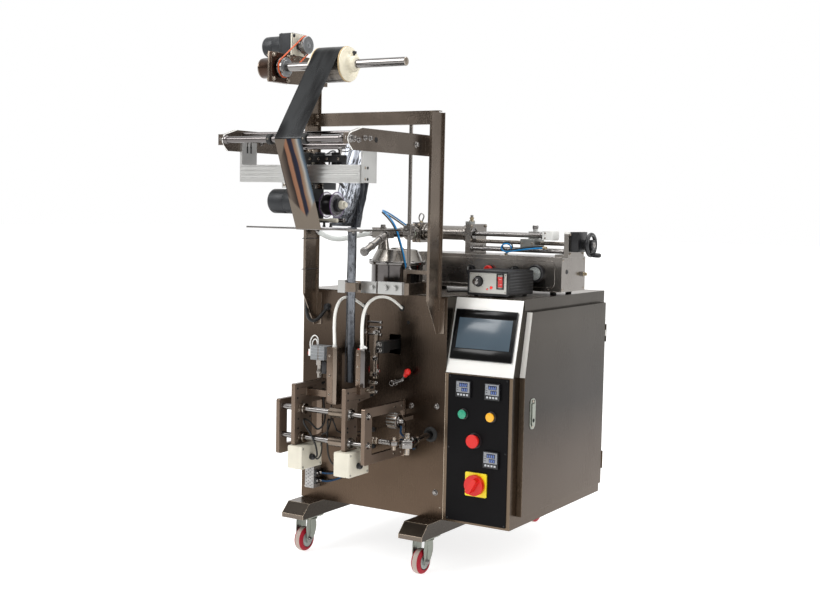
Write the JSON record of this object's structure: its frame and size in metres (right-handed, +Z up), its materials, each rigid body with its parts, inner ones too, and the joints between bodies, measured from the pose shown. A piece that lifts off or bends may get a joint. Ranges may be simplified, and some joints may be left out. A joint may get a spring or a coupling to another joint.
{
  "type": "vertical form fill sealer",
  "caption": "Free-standing sachet machine on casters: driven film roll, folding plate, sealing jaws on guide rods, piston filler and a leaning control box.",
  "frame": {"origin": "on the floor, under the middle of the machine's outer box", "axes": "+Z up, the operator's side with the control plate faces -Y, +X to the operator's right"},
  "size_m": [0.96, 1.259, 1.672],
  "materials": {
    "panel_steel": "brushed stainless sheet",
    "bright_steel": "polished stainless sheet",
    "jaw_steel": "ground stainless plate",
    "chrome": "ground and chromed",
    "aluminium": "anodised, silver",
    "black_plate": "satin black plate",
    "black_plastic": "moulded black",
    "grey_plastic": "moulded grey",
    "green_plastic": "moulded green",
    "yellow_plastic": "moulded amber",
    "red_plastic": "moulded red",
    "charcoal_paint": "satin charcoal paint",
    "caster_zinc": "zinc plated",
    "red_tyre": "red polyurethane tread on a grey core",
    "orange_belt": "round urethane belt",
    "film": "metallised laminate film",
    "clear_hose": "translucent ribbed hose",
    "blue_hose": "blue air line",
    "black_hose": "black ribbed conduit",
    "white_sleeve": "woven fibreglass sleeve",
    "machine_black": "black coating"
  },
  "bodies": {
    "cabinet": {"foot_beams": "panel_steel", "rear_forks": "caster_zinc", "front_panel": "panel_steel", "body_panels": "panel_steel", "top_lid": "panel_steel", "control_frame": "panel_steel", "control_plate": "black_plate", "panel_fittings": "grey_plastic", "hmi_bezel": "bright_steel", "hmi_screen": "black_plastic", "inner_drive": "charcoal_paint", "upper_frame": "panel_steel", "roller_arms": "panel_steel", "alu_frame": "aluminium", "roll_arm": "panel_steel", "drive_motor": "charcoal_paint", "drive_belt": "orange_belt", "film_web": "film", "forming_plate": "bright_steel", "forming_strap": "bright_steel", "date_coder": "machine_black", "jaw_frame": "jaw_steel", "filler_housing": "bright_steel", "filler_barrel": "bright_steel", "drum": "bright_steel", "power_box": "machine_black", "air_hoses": "blue_hose", "product_hose": "clear_hose", "heater_sleeves": "white_sleeve", "conduit": "black_hose"},
    "caster_left": {"caster_fork_left": "caster_zinc"},
    "caster_right": {"caster_fork_right": "caster_zinc"},
    "wheel_fl": {"wheel_front_left": "red_tyre"},
    "wheel_fr": {"wheel_front_right": "red_tyre"},
    "wheel_rl": {"wheel_rear_left": "red_tyre"},
    "wheel_rr": {"wheel_rear_right": "red_tyre"},
    "door": {"side_door": "panel_steel"},
    "latch": {"door_latch": "chrome"},
    "green_button": {"green_button": "green_plastic"},
    "yellow_button": {"yellow_button": "yellow_plastic"},
    "estop_button": {"estop_button": "red_plastic"},
    "switch_knob": {"switch_knob": "red_plastic"},
    "front_roller": {"front_roller": "chrome"},
    "unwinder": {"unwind_shaft": "chrome", "film_roll": "film"},
    "motor_pulley": {"motor_pulley": "aluminium"},
    "ribbon_spool": {"ribbon_spool": "black_plastic"},
    "left_jaw": {"left_jaw": "jaw_steel"},
    "right_jaw": {"right_jaw": "jaw_steel"},
    "push_rod": {"push_rod": "chrome"},
    "puller": {"puller": "jaw_steel"},
    "clutch_lever": {"clutch_lever": "chrome"},
    "filler_left_dial": {"filler_left_dial": "black_plastic"},
    "filler_stop_button": {"filler_stop_button": "red_plastic"},
    "filler_right_dial": {"filler_right_dial": "black_plastic"},
    "filler_piston": {"filler_piston": "chrome"},
    "filler_stop": {"filler_stop": "aluminium"},
    "handwheel": {"handwheel": "machine_black"},
    "power_knob": {"power_knob": "black_plastic"},
    "power_rocker": {"power_rocker": "red_plastic"}
  },
  "joints": [
    {"name": "caster_left_swivel", "type": "hinge", "parent": "cabinet", "child": "caster_left", "pos_m": [-0.374, -0.1795, 0.107], "axis": [0, 0, 1], "continuous": true},
    {"name": "caster_right_swivel", "type": "hinge", "parent": "cabinet", "child": "caster_right", "pos_m": [0.077, -0.1795, 0.107], "axis": [0, 0, 1], "continuous": true},
    {"name": "wheel_fl_spin", "type": "hinge", "parent": "caster_left", "child": "wheel_fl", "pos_m": [-0.374, -0.2055, 0.04], "axis": [1, 0, 0], "continuous": true},
    {"name": "wheel_fr_spin", "type": "hinge", "parent": "caster_right", "child": "wheel_fr", "pos_m": [0.077, -0.2055, 0.04], "axis": [1, 0, 0], "continuous": true},
    {"name": "wheel_rl_spin", "type": "hinge", "parent": "cabinet", "child": "wheel_rl", "pos_m": [-0.374, 0.5895, 0.04], "axis": [1, 0, 0], "continuous": true},
    {"name": "wheel_rr_spin", "type": "hinge", "parent": "cabinet", "child": "wheel_rr", "pos_m": [0.077, 0.5895, 0.04], "axis": [1, 0, 0], "continuous": true},
    {"name": "door_hinge", "type": "hinge", "parent": "cabinet", "child": "door", "pos_m": [0.368, 0.5085, 0.5], "axis": [0, 0, 1], "range_deg": [0, 110]},
    {"name": "latch_pivot", "type": "hinge", "parent": "door", "child": "latch", "pos_m": [0.3665, -0.0455, 0.548], "axis": [0, -1, 0], "range_deg": [0, 40]},
    {"name": "green_push", "type": "slide", "parent": "cabinet", "child": "green_button", "axis": [0, 1, 0], "range_m": [0, 0.0035], "stiffness_N_per_m": 300},
    {"name": "yellow_push", "type": "slide", "parent": "cabinet", "child": "yellow_button", "axis": [0, 1, 0], "range_m": [0, 0.0035], "stiffness_N_per_m": 300},
    {"name": "estop_push", "type": "slide", "parent": "cabinet", "child": "estop_button", "axis": [0, 1, 0], "range_m": [0, 0.004], "stiffness_N_per_m": 300},
    {"name": "switch_turn", "type": "hinge", "parent": "cabinet", "child": "switch_knob", "pos_m": [0.236, -0.1535, 0.292], "axis": [0, 1, 0], "range_deg": [0, 90]},
    {"name": "front_roller_spin", "type": "hinge", "parent": "cabinet", "child": "front_roller", "pos_m": [-0.166, -0.6155, 1.325], "axis": [1, 0, 0], "continuous": true},
    {"name": "unwind_spin", "type": "hinge", "parent": "cabinet", "child": "unwinder", "pos_m": [-0.142, -0.4025, 1.556], "axis": [1, 0, 0], "continuous": true},
    {"name": "motor_pulley_spin", "type": "hinge", "parent": "cabinet", "child": "motor_pulley", "pos_m": [-0.328, -0.2945, 1.636], "axis": [1, 0, 0], "continuous": true},
    {"name": "ribbon_spin", "type": "hinge", "parent": "cabinet", "child": "ribbon_spool", "pos_m": [-0.112, -0.4455, 1.14], "axis": [1, 0, 0], "continuous": true},
    {"name": "left_jaw_slide", "type": "slide", "parent": "cabinet", "child": "left_jaw", "axis": [1, 0, 0], "range_m": [-0.004, 0.02]},
    {"name": "right_jaw_slide", "type": "slide", "parent": "cabinet", "child": "right_jaw", "axis": [1, 0, 0], "range_m": [-0.02, 0.004]},
    {"name": "push_rod_slide", "type": "slide", "parent": "cabinet", "child": "push_rod", "axis": [0.163, 0.9801, 0.1136], "range_m": [-0.01, 0.002]},
    {"name": "puller_slide", "type": "slide", "parent": "cabinet", "child": "puller", "axis": [0, 0, 1], "range_m": [-0.012, 0.012]},
    {"name": "clutch_turn", "type": "hinge", "parent": "cabinet", "child": "clutch_lever", "pos_m": [-0.067, -0.1455, 0.58], "axis": [0, 1, 0], "range_deg": [-30, 30]},
    {"name": "filler_left_turn", "type": "hinge", "parent": "cabinet", "child": "filler_left_dial", "pos_m": [0.037, 0.1445, 0.934], "axis": [0, 1, 0], "range_deg": [0, 90]},
    {"name": "filler_stop_push", "type": "slide", "parent": "cabinet", "child": "filler_stop_button", "axis": [0, 1, 0], "range_m": [0, 0.005], "stiffness_N_per_m": 300},
    {"name": "filler_right_turn", "type": "hinge", "parent": "cabinet", "child": "filler_right_dial", "pos_m": [0.2, 0.1445, 0.937], "axis": [0, 1, 0], "range_deg": [0, 270]},
    {"name": "piston_slide", "type": "slide", "parent": "cabinet", "child": "filler_piston", "axis": [1, 0, 0], "range_m": [-0.018, 0.035]},
    {"name": "handwheel_turn", "type": "hinge", "parent": "cabinet", "child": "handwheel", "pos_m": [0.444, 0.1905, 1.029], "axis": [1, 0, 0], "range_deg": [-8640, 144]},
    {"name": "stop_slide", "type": "slide", "parent": "cabinet", "child": "filler_stop", "axis": [1, 0, 0], "range_m": [-0.121, 0.003]},
    {"name": "power_knob_turn", "type": "hinge", "parent": "cabinet", "child": "power_knob", "pos_m": [0.184, -0.0705, 0.912], "axis": [0, 1, 0], "range_deg": [0, 270]},
    {"name": "power_rocker_tilt", "type": "hinge", "parent": "cabinet", "child": "power_rocker", "pos_m": [0.261, -0.0655, 0.914], "axis": [-1, 0, 0], "range_deg": [0, 15]}
  ],
  "couplings": [
    {"joint": "motor_pulley_spin", "follows": "unwind_spin", "ratio": 1.0741},
    {"joint": "right_jaw_slide", "follows": "left_jaw_slide", "ratio": -1},
    {"joint": "push_rod_slide", "follows": "left_jaw_slide", "ratio": -0.5},
    {"joint": "stop_slide", "follows": "handwheel_turn", "m_per_rad": 0.00079577}
  ]
}
